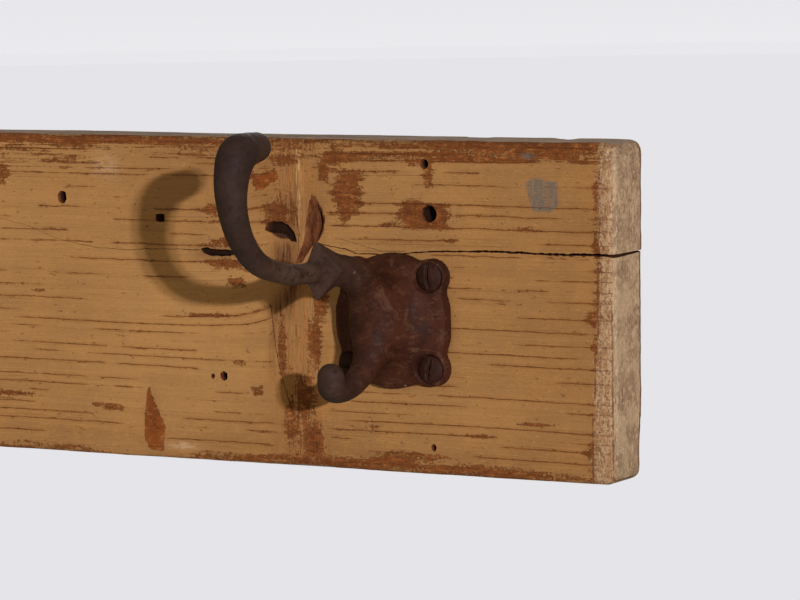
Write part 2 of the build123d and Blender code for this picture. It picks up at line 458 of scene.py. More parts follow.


# ---------- the plank's marks
# Places are (x from the end hook's centre, z from the plank's centreline). Those that the photo
# shows were picked and turned into millimetres with the fitted camera.
KNOT = (-41.5, 22.0)
SPLIT_PATH = (
    (-29, 18.7), (-22.4, 17.5), (-18.1, 16.9), (-13.5, 15.6), (-9.1, 15.7), (-3, 15.4), (1.6, 15.9),
    (8, 16.7), (18, 17.2), (36.7, 17.6), (52, 17.3), (72, 17.5), (79, 17.2),
)
SIDE_SPLIT_PATH = (
    (-22.6, 20.3), (-17, 19.4), (-12, 18.1), (-5, 16.7), (4, 16.9),
)
BAND_CRACK_PATH = (
    (-45.8, -1), (-44.8, -8), (-44, -15), (-42.2, -23), (-39.4, -32), (-36, -40), (-34, -46),
)
UPPER_CRACK_PATH = (
    (-37.4, 47), (-37, 41), (-35.6, 35), (-35.9, 28), (-34.9, 21), (-35.4, 15),
)
LEFT_SPLIT_PATH = (
    (-152, 24.2), (-144.5, 22.5), (-136.3, 20.9), (-130.1, 18.5), (-123.9, 16.9), (-117.7, 15.8),
    (-110.3, 14.9), (-99.3, 14.5), (-90.7, 15), (-80, 15.3), (-71, 15.2),
)


def local(points):
    """Coordinates beside the end hook: x, z and the depth below the front face."""
    x = points[:, 0] - END_HOOK[0]
    z = points[:, 2] - PLANK_MIDDLE_Z
    return x, z, points[:, 1] - PLANK_FRONT


def oval(x, z, centre_x, centre_z, half_x, half_z, turn=0.0):
    """1 at the middle of an oval, 0.5 on its outline and 0 well outside it."""
    cos, sin = math.cos(math.radians(turn)), math.sin(math.radians(turn))
    along = ((x - centre_x) * cos + (z - centre_z) * sin) / half_x
    across = ((z - centre_z) * cos - (x - centre_x) * sin) / half_z
    return np.exp(-math.log(2) * (along**2 + across**2))


FINE_REACH = 152             # of the fine grid, from the end hook towards the others
FINE_GRID = 1.15
COARSE_GRID = 3.2


def plank_grid():
    """Points and quads of the plain block: fine near the end hook, coarser towards the other end."""
    fine_from = END_HOOK[0] - FINE_REACH
    edge_steps = np.array((0, 0.35, 0.75, 1.25, 1.9, 2.8, 3.8))
    xs = np.concatenate([
        np.arange(plank_low[0], fine_from, COARSE_GRID),
        np.arange(fine_from, plank_high[0] - 4.4, FINE_GRID),
        (plank_high[0] - edge_steps)[::-1],
    ])
    xs[1:4] = plank_low[0] + np.array((0.5, 1.2, 2.2))
    inner = np.linspace(plank_low[2] + 4.8, plank_high[2] - 4.8, 84)
    zs = np.concatenate([plank_low[2] + edge_steps, inner, (plank_high[2] - edge_steps)[::-1]])
    across = np.linspace(PLANK_FRONT + 5.0, plank_high[1] - 2.0, 10)
    ys = np.concatenate([PLANK_FRONT + edge_steps, across, plank_high[1] - np.array((1.0, 0.4, 0))])

    points, quads, count = [], [], 0
    axes = (xs, ys, zs)
    for axis, ends in ((1, (0, -1)), (2, (-1, 0)), (0, (-1, 0))):
        u_axis, v_axis = (i for i in range(3) if i != axis)
        u, v = np.meshgrid(axes[u_axis], axes[v_axis], indexing="ij")
        for end, flip in zip(ends, (False, True)):
            side = np.full((u.size, 3), axes[axis][end])
            side[:, u_axis], side[:, v_axis] = u.ravel(), v.ravel()
            points.append(side)
            index = count + np.arange(u.size).reshape(u.shape)
            quad = np.stack([index[:-1, :-1], index[1:, :-1], index[1:, 1:], index[:-1, 1:]], axis=-1)
            quads.append(quad.reshape(-1, 4)[:, ::-1] if flip else quad.reshape(-1, 4))
            count += u.size
    points, quads = np.concatenate(points), np.concatenate(quads)
    _, first, same = np.unique(np.round(points * 1000), axis=0, return_index=True, return_inverse=True)
    return points[first], same.ravel()[quads]


OUTLINE_RADIUS = 4.2
FRONT_EDGE = (1.7, 0.9, 71)  # a worn edge's radius, how much it varies, and a seed
BACK_EDGE = (0.7, 0.3, 72)
THICKNESS = plank_high[1] - PLANK_FRONT


def end_slant(points):
    """How far a sawn end falls short of the square block, which it does most at the back and low down."""
    _, z, depth = local(points)
    front = 0.5 * ramp(-z, -40, 30)
    return front + depth / THICKNESS * (0.85 + 0.9 * ramp(-z, 22, 46))


def past_end(points):
    """The distance beyond the nearer end of the plank, below 0 within it."""
    return np.abs(points[:, 0]) + end_slant(points) - plank_high[0]


def round_edges(points):
    """The block with rounded outline corners and worn, uneven front edges."""
    points = points.copy()
    centre = (plank_low + plank_high) / 2
    half = (plank_high - plank_low) / 2
    flat = points[:, [0, 2]] - centre[[0, 2]]
    core = np.clip(flat, -(half[[0, 2]] - OUTLINE_RADIUS), half[[0, 2]] - OUTLINE_RADIUS)
    out = flat - core
    reach = np.hypot(*out.T)
    square = np.abs(out).max(axis=1)
    flat = core + out * np.where(reach > 0, square / np.maximum(reach, 1e-9), 1)[:, None]

    normal = flat - core
    normal = normal / np.maximum(np.hypot(*normal.T), 1e-9)[:, None]
    inset = OUTLINE_RADIUS - np.hypot(*(flat - core).T)
    depths = (points[:, 1] - plank_low[1], plank_high[1] - points[:, 1])
    for depth, (base, wear, seed) in zip(depths, (FRONT_EDGE, BACK_EDGE)):
        radius = base + wear * noise(points / 14.0, seed)
        radius += base * 0.5 * ramp(np.abs(points[:, 0]), plank_high[0] - 9, plank_high[0] - 1)
        a, b = radius - inset, radius - depth
        both = (a > 0) & (b > 0)
        shrink = np.where(both, np.maximum(a, b) / np.maximum(np.hypot(a, b), 1e-9), 1)
        flat -= normal * np.where(both, a - a * shrink, 0)[:, None]
        moved = np.where(both, b - b * shrink, 0)
        points[:, 1] += moved if base > 1 else -moved
        inset = inset + np.where(both, a - a * shrink, 0)
    points[:, 0], points[:, 2] = (flat + centre[[0, 2]]).T
    near_end = ramp(np.abs(points[:, 0]), plank_high[0] - 12, plank_high[0])
    points[:, 0] -= np.sign(points[:, 0]) * near_end * end_slant(points)
    return points


def hollows(points):
    """How far the old surface has sunk below the planed block, in millimetres."""
    x, z, depth = local(points)
    stretched = points * (0.02, 0.25, 0.42)
    sunk = 0.05 + 0.07 * noise(stretched, 81) + 0.05 * noise(points / 30.0, 82)
    front = ramp(-depth, -2.0, -0.5)
    band = oval(x, 0 * z, -34, 0, 9, 1)
    upright = points * (0.45, 0.2, 0.06)
    sunk += front * band * (0.28 + 0.3 * noise(upright, 83))
    sunk += front * 0.5 * oval(x, z, KNOT[0] + 1, KNOT[1] - 1, 6, 4.5)
    top = ramp(z, 50.0, 50.8)
    sunk += top * (0.12 + 0.14 * noise(points * (0.05, 0.4, 0.3), 84))
    sunk += top * 0.6 * ramp(noise(points / (16.0, 9.0, 30.0), 85), 0.55, 1.0)
    ends = ramp(past_end(points), -1.0, -0.2)
    sunk += ends * (0.1 + 0.12 * noise(points / 1.6, 86) + 0.12 * noise(points / 6.0, 87))
    below_split = ramp(17.4 - z, -0.6, 0.6) * ramp(x, 0, 70)
    sunk += below_split * (0.35 * ends + 0.12 * front)
    return np.maximum(sunk, 0)


def polygon(centre_x, centre_z, outline, levels):
    """A cutter: an outline around a point of the front face, taken down through (depth, size) levels."""
    outline, centre = np.array(outline, float), (centre_x, centre_z)
    cuts = [(outline * size + centre, PLANK_FRONT + depth) for depth, size in levels]
    return loft([np.insert(points, 1, y, axis=1) for points, y in cuts])


def ring(radius, count=20, squash=1.0, rough=0.0, seed=1):
    """A round outline, or an uneven one."""
    angles = np.arange(count) / count * 2 * math.pi
    size = radius * (1 + rough * np.random.default_rng(seed).uniform(-1, 1, count))
    return np.stack([size * np.cos(angles), size * squash * np.sin(angles)], axis=1)


def split_cutter(path, start_width, end_width, start_depth, end_depth, seed):
    """A ragged wedge along a path on the front face, for a crack that opens towards its end."""
    path = np.array(path)
    reach = np.concatenate([[0], np.cumsum(np.hypot(*np.diff(path, axis=0).T))])
    spots = np.arange(0, reach[-1], 0.8)
    share = spots / reach[-1]
    line = np.stack([np.interp(spots, reach, places) for places in path.T], axis=1)
    along = np.gradient(line, axis=0)
    side = np.stack([-along[:, 1], along[:, 0]], axis=1) / np.hypot(*along.T)[:, None]
    random = np.random.default_rng(seed)
    wander = 0.16 * np.convolve(random.uniform(-1, 1, len(spots)), (0.25, 0.5, 0.25), "same")
    line += side * wander[:, None] + (END_HOOK[0], PLANK_MIDDLE_Z)
    width = start_width + (end_width - start_width) * share**1.3
    width = width * (1 + 0.35 * random.uniform(-1, 1, len(spots)))
    depth = start_depth + (end_depth - start_depth) * share**1.2
    sections = []
    for point, normal, w, d in zip(line, side, width, depth):
        section = []
        for level, offset in ((-1.5, 0.62 * w), (d, 0.1 * w), (d, -0.1 * w), (-1.5, -0.62 * w)):
            x, z = point + normal * offset
            section.append((x, PLANK_FRONT + level, z + 0.02 * max(level, 0)))
        sections.append(section)
    return loft(sections)


PILOT_RADIUS = 2.18
WALL_SCREWS = next(m for m in frame["record"]["mounts"] if m["name"] == "wall_screws")
NAIL_HOLES = (
    (-124.1, 30.7, 1.7), (10.6, 43.5, 1.3), (-67.7, -24.2, 0.7), (12.5, -42.7, 0.9), (-63.6, -24, 1.25),
    (-243, -33, 1.1), (-331.5, 38.2, 1.3), (-402, 22, 0.9), (-517.5, -28.6, 1.2), (-561, 41.5, 1.4),
    (-638, -40.5, 1),
)
SQUARE_NAIL = (-86.5, 24.9)


def hole_cutters():
    """Wall screw holes, pilot holes, old nail holes and the square hole of a cut nail."""
    cutters = []
    hole_x = WALL_SCREWS["dims"]["spacing_x_mm"] / 2
    hole_z = WALL_SCREWS["pos_m"][2] / MM
    radius = WALL_SCREWS["dims"]["hole_r_mm"]
    through = plank_high[1] - PLANK_FRONT + 2
    for x in (-hole_x, hole_x):
        outline = ring(radius, 28, rough=0.05, seed=int(x) % 97)
        cutters.append(polygon(x, hole_z, outline, ((-1, 1.16), (0.3, 1.12), (1.6, 1.02), (through, 1.0))))
    for number in range(1, HOOK_COUNT + 1):
        for corner in CORNERS:
            x, _, z = node_centre(f"screw_{number}_{corner}")
            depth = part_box(f"screw_{number}_{corner}")[1][1] / MM - PLANK_FRONT + 0.5
            cutters.append(polygon(x, z, ring(PILOT_RADIUS, 18), ((-1, 1), (depth, 1))))
    for seed, (x, z, size) in enumerate(NAIL_HOLES, 3):
        outline = ring(size, 18, squash=1.15, rough=0.1, seed=seed)
        levels = ((-1, 1.15), (0.1, 1.05), (0.9, 0.85), (1.8, 0.8), (9, 0.7))
        cutters.append(polygon(END_HOOK[0] + x, PLANK_MIDDLE_Z + z, outline, levels))
    square = ((1.6, 1.2), (0.2, 1.35), (-1.7, 1.1), (-1.6, -1.0), (-0.1, -1.3), (1.7, -1.1))
    x, z = SQUARE_NAIL
    cutters.append(polygon(END_HOOK[0] + x, PLANK_MIDDLE_Z + z, square, ((-1, 1.1), (0.4, 1), (8, 0.7))))
    return join(cutters)


# Outlines on the front face, in the same coordinates.
GOUGE = (
    (-30.3, 34.4), (-28.2, 32.6), (-26.4, 29.6), (-25.2, 26), (-25.8, 22.4), (-27.4, 19.4), (-30.6, 16.6),
    (-34.2, 12), (-36, 12.4), (-34.4, 16.6), (-33.2, 20.4), (-32.6, 25), (-31.6, 30),
)
GOUGE_RIFT = (
    (-28.6, 31), (-26.9, 28.4), (-26.1, 25.4), (-26.6, 22.4), (-28.2, 19.8), (-29.2, 19.6), (-28, 22.6),
    (-27.8, 25.6),
)
KNOT_HOLE = (
    (-47.4, 22.2), (-46.4, 24), (-44, 25), (-41, 24.9), (-38.4, 23.6), (-36.6, 21.2), (-35.6, 18.4),
    (-37.8, 18.6), (-40.2, 20.4), (-42.6, 21.2), (-45, 21), (-46.2, 21.4),
)
SCAR = (
    (-71.4, 15.5), (-69.8, 16.2), (-66.4, 15.7), (-62, 15.6), (-57.4, 15), (-57.8, 13.9), (-62.4, 13.6),
    (-67.4, 13.5), (-70.2, 14.4),
)


def ragged(outline, seed, piece=0.9, jitter=0.22):
    """The outline with its edges broken into short uneven lengths."""
    outline = np.array(outline, float)
    random = np.random.default_rng(seed)
    points = []
    for a, b in zip(outline, np.roll(outline, -1, axis=0)):
        steps = max(int(np.hypot(*(b - a)) / piece), 1)
        for step in range(steps):
            points.append(a + (b - a) * step / steps + random.uniform(-jitter, jitter, 2))
    return np.array(points)


def gouge_cutters():
    """The split-off sliver, the hole of the loose knot, the knife scar and the rift in the gouge."""
    cutters = []
    for seed, (outline, levels) in enumerate((
        (GOUGE, ((-1, 1.08), (0.2, 1.0), (1.0, 0.78), (1.5, 0.4))),
        (KNOT_HOLE, ((-1, 1.12), (0.3, 1.0), (2.4, 0.74))),
        (SCAR, ((-1, 1.1), (0.2, 1.0), (2.6, 0.7))),
        (GOUGE_RIFT, ((-1, 1.0), (2.0, 0.9), (3.8, 0.45))),
    ), 21):
        outline = ragged(outline, seed)
        middle = outline.mean(axis=0)
        place = middle + (END_HOOK[0], PLANK_MIDDLE_Z)
        cutters.append(polygon(*place, outline - middle, levels))
    return cutters


# Each split's path, its widths and its depths at the start and the end, and a seed.
SPLITS = (
    (SPLIT_PATH, 0.26, 0.8, 2.5, 34.0, 5),
    (SIDE_SPLIT_PATH, 0.16, 0.22, 0.8, 1.2, 6),
    (LEFT_SPLIT_PATH, 0.12, 0.3, 0.7, 1.6, 7),
    (BAND_CRACK_PATH, 0.5, 0.2, 1.4, 0.5, 8),
    (UPPER_CRACK_PATH, 0.15, 0.45, 0.5, 1.4, 10),
)


def cut(piece, cutter_shape, material):
    """Take a closed shape out of a piece. The new faces get their own material."""
    cutter = mesh_object("cutter", *cutter_shape)
    outward = bmesh.new()
    outward.from_mesh(cutter.data)
    bmesh.ops.recalc_face_normals(outward, faces=outward.faces)
    outward.to_mesh(cutter.data)
    outward.free()
    cutter.data.materials.append(material)
    modifier = piece.modifiers.new("cut", "BOOLEAN")
    modifier.operation = "DIFFERENCE"
    modifier.solver = "MANIFOLD"
    modifier.object = cutter
    modifier.material_mode = "TRANSFER"
    bpy.context.view_layer.update()
    result = bpy.data.meshes.new_from_object(piece.evaluated_get(bpy.context.evaluated_depsgraph_get()))
    piece.modifiers.clear()
    piece.data = result
    bpy.data.objects.remove(cutter)


# Where the old finish is gone: (x, z, half width, half height, strength).
LOSSES = (
    (6.6, 28.4, 4, 3.6, 1.1), (14, 27.6, 5, 3.2, 1), (11.4, 26.6, 9.5, 0.8, 0.9),
    (-17.2, 34.2, 4.2, 5, 1.25), (-18, 28.6, 2.2, 3, 0.95), (-14, 38.6, 3.4, 1.4, 0.8),
    (12, 41, 1.6, 4.4, 0.8), (8, 43.4, 3.6, 0.8, 0.8), (-42, 27.5, 5, 4.4, 0.72),
    (-52.5, 38.6, 2.6, 1, 0.9), (-51, -28, 2.4, 1.6, 0.75), (-3, -47.5, 8, 1.6, 0.95),
    (-106, -35.6, 3.6, 0.9, 0.95), (-112, -35, 3, 0.5, 0.8), (-146, -33, 8.5, 0.8, 0.95),
    (-152, -32.6, 2.4, 1.4, 0.8), (-148, 38, 2.6, 3.6, 0.8), (-31, -44, 3.2, 6, 0.9), (-22, 45, 5, 3, 0.8),
    (46, 24.6, 3, 0.6, 0.8), (-60, 18, 8, 1.6, 0.75), (-62, 11.2, 7.5, 1.6, 0.8), (-58, 5.5, 4, 1.6, 0.8),
    (-52, 9.5, 6, 0.9, 0.75), (30, -38, 5, 0.5, 0.8), (48, -34, 7, 0.5, 0.8), (-70, -5, 8, 0.5, 0.7),
    (-134, 0.5, 3, 0.5, 0.8), (-57.5, -19.5, 2.2, 0.8, 0.8), (-66.5, 28, 4.5, 2.6, 0.62),
    (20, 21, 2.4, 0.6, 0.8), (-2, 25, 3, 0.5, 0.8), (-9, -37, 3, 0.6, 0.8), (10, -45.6, 9, 0.7, 0.9),
    (-27.5, 2, 2.4, 6.5, 1), (-29.5, -12, 2.2, 7, 0.85), (-42, -14, 1.3, 9, 0.8), (-25.5, 41, 2, 3.6, 0.85),
    (-33.5, -30, 2.6, 6, 0.85), (-39, -37, 2, 6, 0.8), (-40, 44, 5, 1.6, 0.8), (68.6, -1.6, 2.6, 2, 1),
    (68, -42, 3, 1.6, 0.9), (69.5, -9.5, 1.6, 3, 0.85), (69.8, 20, 1.4, 4, 0.85),
    (70.2, 36, 1.4, 4.4, 0.85),
)
OTHER_LOSS_COUNT = 90
OTHER_LOSS_LIMITS = ((-665, -160), (-46, 46), (1, 8), (0.5, 1.8), (0.6, 1.0))


def finish_end(z):
    """Where the finish stops near the plank's ends, measured from its middle."""
    return plank_high[0] - 5.6 - 3.2 * ramp(-z, -25, 50)


def lost_finish(points):
    """From 0, where the varnish is sound, to 1, where it has gone."""
    x, z, _ = local(points)
    random = np.random.default_rng(9)
    others = [[random.uniform(*limits) for limits in OTHER_LOSS_LIMITS] for _ in range(OTHER_LOSS_COUNT)]
    loss = np.zeros(len(points))
    for *place_and_size, strength in (*LOSSES, *others):
        loss = np.maximum(loss, strength * oval(x, z, *place_and_size))
    patchy = noise(points * (0.05, 0.2, 0.35), 92)
    top = ramp(z, 43.8, 45.0) * (0.34 + 0.36 * patchy + 0.14 * ramp(z, 46, 49))
    top += 0.22 * ramp(z, 43.6, 45.6) * ramp(x, -30, 10) * ramp(-x, -68, -58)
    top += ramp(z, 36.0, 43.0) * ramp(-x, 62, 90) * (0.1 + 0.16 * patchy)
    worn_from = 45.6 + 1.2 * noise(points / 22.0, 91) + 1.6 * ramp(-x, 60, 90)
    bottom = ramp(-z, worn_from, worn_from + 2.8) * (0.48 + 0.3 * patchy - 0.12 * ramp(-x, 60, 90))
    flaky = 0.42 + 0.35 * noise(points * (0.1, 0.3, 0.22), 93)
    ends = bell(np.abs(points[:, 0]), finish_end(z), 1.5) * flaky
    return np.max([loss, top, bottom, ends], axis=0)


# Heights of the clearest grain lines, right and left of the old band.
RIGHT_LINES = (
    -52, -48.5, -45, -41.5, -39, -36, -33.5, -30, -27, -24, -21, -16.5, -13.5, -10, -6, -2, 3, 6, 9, 12,
    15.6, 20, 24, 28, 31, 34, 37, 41, 44.4, 46.4, 48.6, 52,
)
LEFT_LINES = (
    -52, -48, -45, -41, -38.5, -36, -32, -29.5, -27, -22, -19, -16.5, -13.5, -11, -8.5, -6, -1.5, 2.5, 6.5,
    11.5, 16.8, 20, 24, 27.5, 31, 34, 38.5, 40.4, 42, 44, 46.4, 49, 52,
)
BAND_MIDDLE = -38.0
OTHER_KNOTS = ((-296, -8, 4), (-478, 19, 3.5), (-612, -21, 4.5))  # (x, z, how far the grain bends)


def grain_height(points):
    """The height that a grain line would have on a plain board, bent here around the knots."""
    x, z, _ = local(points)
    height = z + 0.9 * noise(points * (0.012, 0.02, 0.03), 95, 2)
    left = x < BAND_MIDDLE
    reach = np.exp(-np.clip(-44 - x, 0, 200) / 12.0) * left
    height -= 6.0 * reach * bell(z, 2, 12)
    height -= 2.4 * reach * bell(z, 33, 8)
    height += oval(x, 0 * z, -37, 0, 7, 1) * 1.2 * noise(points / 6.0, 96)
    for knot_x, knot_z, push in OTHER_KNOTS:
        gap = np.abs(z - knot_z)
        bend = push * bell(x, knot_x, 20) * np.exp(-gap / 7.0) * ramp(gap, 0, 3)
        height -= np.sign(z - knot_z) * bend
    return height


def grain_lines(x, height):
    """A number that is whole on each grain line, and the space between lines there, in millimetres."""
    count = np.zeros(len(x))
    space = np.ones(len(x))
    for side, lines in ((x >= BAND_MIDDLE, RIGHT_LINES), (x < BAND_MIDDLE, LEFT_LINES)):
        numbers = np.arange(len(lines)) + (0 if lines is RIGHT_LINES else 60)
        count[side] = np.interp(height[side], lines, numbers)
        middles = (np.array(lines[:-1]) + lines[1:]) / 2
        space[side] = np.interp(height[side], middles, np.diff(lines))
    return count, space


def shape(x, z, outline, soft=0.6):
    """1 inside an outline and 0 outside it."""
    outline = np.array(outline, float)
    inside = np.zeros(len(x), bool)
    nearest = np.full(len(x), 1e9)
    for (ax, az), (bx, bz) in zip(outline, np.roll(outline, -1, axis=0)):
        crosses = (az > z) != (bz > z)
        inside ^= crosses & (x < ax + (z - az) * (bx - ax) / (bz - az if bz != az else 1))
        dx, dz = bx - ax, bz - az
        share = np.clip(((x - ax) * dx + (z - az) * dz) / (dx**2 + dz**2), 0, 1)
        nearest = np.minimum(nearest, np.hypot(x - ax - share * dx, z - az - share * dz))
    return ramp(np.where(inside, nearest, -nearest), -soft, soft)


WEDGE = (
    (-92.6, -28.5), (-93.6, -38), (-94, -45), (-92.4, -48), (-87, -49), (-86.5, -41), (-89.4, -35),
)
RUST_FLAG = (
    (-52, 36.6), (-50, 38.6), (-43.6, 40.8), (-41.8, 38.4), (-45, 36.8), (-49, 33.8),
)
INK_STAIN = (
    (45.6, 38.8), (48, 39.6), (56.6, 38.9), (57.4, 32), (54, 29.4), (48, 29.8), (46.6, 33),
)


# Dirt in the wood, with painted shade by the scar, gouge, knot hole and band crack: (strength, x, z, half
# width, half height, turn).
DIRT_AND_SHADE_SPOTS = (
    (0.8, -64, 14.6, 9, 1.9), (0.35, -30, 25, 5, 12), (0.4, -43, 27, 6, 4), (0.5, -45, -12, 1.3, 12, -3),
    (0.5, -91, -38, 2.2, 7),
)


def plank_attributes(piece):
    """Fields that the plank's materials read, from each point's place."""
    points = vertex_points(piece)
    x, z, depth = local(points)
    height = grain_height(points)
    line_number, line_space = grain_lines(x, height)
    wedge, flag = shape(x, z, WEDGE), shape(x, z, RUST_FLAG)
    past_plank = past_end(points)
    past_finish = np.abs(points[:, 0]) - finish_end(z)

    knots = [oval(x, z, *KNOT, 4.6, 2.6, -14)]
    knots += [oval(x, z, knot_x, knot_z, 5.5, 3.6, 10) for knot_x, knot_z, _ in OTHER_KNOTS]
    # Dirt and painted shade: a dark streak below the knot, partly a painted shadow, and spots by the cuts.
    streak_x = np.interp(z, (-8, -2, 5, 13, 20), (-41.5, -41.0, -37.5, -40.5, -40.5))
    dirt = 1.2 * bell(x, streak_x, 3.8) * ramp(z, -9, 0) * ramp(-z, -21, -16)
    for strength, *spot in DIRT_AND_SHADE_SPOTS:
        dirt += strength * oval(x, z, *spot)
    # Dirt and painted shade in a ring around each plate's rim.
    for centre in HOOK_CENTRES:
        from_plate = np.hypot(points[:, 0] - centre[0], points[:, 2] - centre[2])
        dirt += 0.3 * ramp(-from_plate, -23.0, -19.0)

    ridge = bell(x + 0.03 * (z - 30), -34.4, 1.0) * ramp(z, 10, 18)
    low_ridge = 0.15 * bell(x + 0.12 * z, -38.5, 1.6) * ramp(-z, -2, 6)
    ink = shape(x, z, INK_STAIN, 1.2) + 0.9 * oval(x, z, 46.2, 46.6, 2.6, 0.9)
    tone = 0.5 + 0.4 * noise(points / 45.0, 98, 2) - 0.3 * ramp(-z, 30, 48) + 0.3 * ramp(-x, 50, 120)
    # Painted shade in the cuts: darker with depth below the front face, less in the shallow gouge, and dark
    # over the knot hole and scar.
    deep = [0.95 * ramp(depth, 0.1, 1.7) * (1 - 0.85 * shape(x, z, GOUGE)), 0.9 * ramp(depth, 1.7, 3.4)]
    for strength, outline in ((0.7, KNOT_HOLE), (0.95, SCAR)):
        deep.append(strength * np.minimum(2.2 * shape(x, z, outline, 1.0), 1))
    set_attributes(
        piece,
        grain_height=height,
        line_number=line_number,
        line_space=line_space,
        no_lines=np.maximum(ramp(x, -47, -44) * ramp(-x, 22, 27), ramp(depth, 0.4, 1.4)),
        orange=np.maximum(wedge, flag),
        lost_finish=np.max([lost_finish(points), 1.3 * wedge, 1.1 * flag], axis=0),
        sawn_side=ramp(np.abs(z), 49.6, 50.7) * ramp(depth, 0.5, 1.9),
        end_grain=ramp(past_plank + 0.3 * noise(points / 5.0, 97), -1.9, -0.4),
        bare_strip=np.clip(0.5 + past_finish / 8, 0, 1),
        finish_rim=bell(past_finish, 0.2, 1.1),
        worn_arris=bell(past_plank, -1.3, 0.5) * ramp(-z, -24, 6),
        back=ramp(depth, THICKNESS - 1.4, THICKNESS - 0.2),
        back_edge=ramp(depth, THICKNESS - 3.6, THICKNESS - 0.8),
        knot=np.max(knots, axis=0),
        dirt=dirt,
        upright_streaks=oval(x + 0.04 * z, 0 * z, -36.5, 0, 7.0, 1),
        cream=np.maximum(ridge, low_ridge),
        streaky=ramp(z, 33, 42) * (0.6 + 0.6 * ramp(-x, 40, 70)),
        ink=ink + 0.35 * oval(x, z, 51, 42, 4, 4),
        pale=oval(x, z, -80, -46.8, 4.0, 0.8) + 0.5 * oval(x, z, -107, 41, 4, 3),
        deep=np.max(deep, axis=0),
        tone=tone - 0.15 * ramp(x, 0, 60) * ramp(z, 10, 30),
    )


# ---------- materials
def srgb(red, green, blue):
    """A colour from its 0 to 255 values, as Blender's linear one."""
    values = [(v / 255 + 0.055) / 1.055 if v > 10 else v / 255 / 12.92 for v in (red, green, blue)]
    return tuple(v**2.4 for v in values) + (1.0,)


LIGHT_ON_FRONT = 0.85        # share of its own colour that a lit front surface sends back
LIGHT_ON_TOP = 0.5


def seen(red, green, blue, light=LIGHT_ON_FRONT):
    """The surface colour that looks like these 0 to 255 values in the scene's light."""
    return tuple(min(v / light, 0.9) for v in srgb(red, green, blue)[:3]) + (1.0,)


class Value:
    """A number or a colour that a node gives, and what can be done with it."""

    def __init__(self, shader, socket):
        self.shader, self.socket = shader, socket

    def __add__(self, other):
        return self.shader.math("ADD", self, other)

    def __sub__(self, other):
        return self.shader.math("SUBTRACT", self, other)

    def __rsub__(self, other):
        return self.shader.math("SUBTRACT", other, self)

    def __mul__(self, other):
        return self.shader.math("MULTIPLY", self, other)

    def __truediv__(self, other):
        return self.shader.math("DIVIDE", self, other)

    def step(self, start, end):
        """0 below start and 1 above end, with a smooth slope between."""
        inputs = {"Value": self, "From Min": start, "From Max": end}
        return self.shader.node("MapRange", inputs, interpolation_type="SMOOTHSTEP")

    def under(self, colour, share):
        """This colour, covered by another where the share is 1."""
        return self.shader.mix(share, self, colour)

    def coats(self, tone, *coats):
        """This colour under others, each given by its 0 to 255 values and its share."""
        colour = self
        for values, share in coats:
            colour = colour.under(tone(*values), share)
        return colour

    def shade(self, value, low, high):
        return self.shader.shade(self, value, low, high)


class Shader:
    """One procedural material, built node by node. Lengths in it are millimetres."""

    def __init__(self, name):
        self.material = bpy.data.materials.new(name)
        self.material.use_nodes = True
        self.nodes = self.material.node_tree.nodes
        self.links = self.material.node_tree.links
        self.nodes.clear()
        self.surface = self.nodes.new("ShaderNodeBsdfPrincipled")
        output = self.nodes.new("ShaderNodeOutputMaterial")
        self.links.new(self.surface.outputs["BSDF"], output.inputs["Surface"])
        coordinates = self.node("TexCoord", {}, "Object")
        self.place = self.stretch(coordinates, (1 / MM,) * 3)

    def feed(self, socket, value):
        if isinstance(value, Value):
            self.links.new(value.socket, socket)
        else:
            socket.default_value = value

    def node(self, kind, inputs, output=0, **settings):
        """A new node's output, given its inputs and settings."""
        node = self.nodes.new("ShaderNode" + kind)
        for name, value in settings.items():
            setattr(node, name, value)
        for socket, value in inputs.items():
            self.feed(node.inputs[socket], value)
        return Value(self, node.outputs[output])

    def finish(self, colour, roughness, specular, relief=None):
        """Set the surface, with relief from a height in millimetres, and give the material."""
        self.feed(self.surface.inputs["Base Color"], colour)
        self.feed(self.surface.inputs["Roughness"], roughness)
        self.feed(self.surface.inputs["Specular IOR Level"], specular)
        if relief:
            bump = self.node("Bump", {"Strength": 1.0, "Distance": MM, "Height": relief})
            self.feed(self.surface.inputs["Normal"], bump)
        return self.material

    def stretch(self, vector, factors):
        return self.node("VectorMath", {0: vector, 1: factors}, operation="MULTIPLY")

    def math(self, operation, a, b=0.0):
        return self.node("Math", {0: a, 1: b}, operation=operation)

    def vector(self, x, y, z):
        return self.node("CombineXYZ", {0: x, 1: y, 2: z})

    def attribute(self, name):
        return self.node("Attribute", {}, "Fac", attribute_name=name)

    def noise(self, place, detail=3.0, roughness=0.5, scale=1.0, distortion=0.0):
        """Noise at a vector, or over the object at one scale or stretched by three factors."""
        if isinstance(place, tuple):
            place = self.stretch(self.place, place)
        elif not isinstance(place, Value):
            place, scale = self.place, place
        return self.node("TexNoise", {"Vector": place, "Scale": scale, "Detail": detail,
                                      "Roughness": roughness, "Distortion": distortion})

    def mix(self, share, a, b):
        return self.node("Mix", {0: share, 6: a, 7: b}, 2, data_type="RGBA")

    def blend(self, share, a, b):
        """A number part of the way from a to b."""
        return self.node("Mix", {0: share, 2: a, 3: b})

    def shade(self, colour, value, low, high):
        """A colour made darker or lighter by a value from 0 to 1."""
        scale = self.node("MapRange", {"Value": value, "To Min": low, "To Max": high})
        colour = colour if isinstance(colour, Value) else colour[:3]
        return self.node("VectorMath", {0: colour, "Scale": scale}, operation="SCALE")


